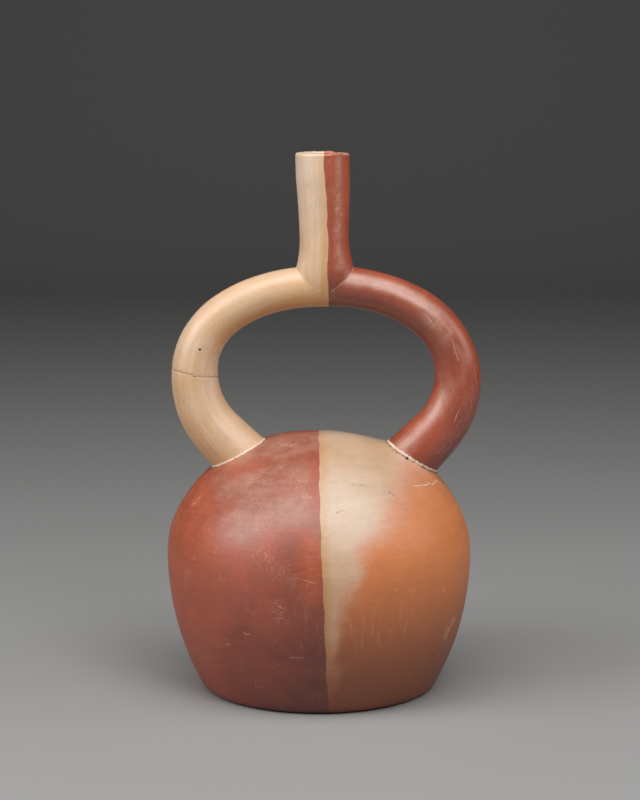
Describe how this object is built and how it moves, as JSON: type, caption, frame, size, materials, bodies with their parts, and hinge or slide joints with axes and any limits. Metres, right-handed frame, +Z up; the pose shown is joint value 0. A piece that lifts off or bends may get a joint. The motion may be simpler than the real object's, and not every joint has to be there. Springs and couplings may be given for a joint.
{
  "type": "stirrup spout vessel",
  "caption": "Round hollow clay bottle on a flat base, with a hollow stirrup handle on its shoulders and one open spout on the handle's crown, for carrying and pouring liquid.",
  "frame": {"origin": "centre of the flat base, on the body's axis", "axes": "+Z up along the body's axis, +X to the right as the bottle is seen with its stirrup face on, +Y away from the viewer"},
  "size_m": [0.1402, 0.136, 0.24],
  "materials": {
    "slipped_clay": "burnished red and cream slip, satin"
  },
  "bodies": {
    "root": {"vessel": "slipped_clay"}
  },
  "joints": []
}
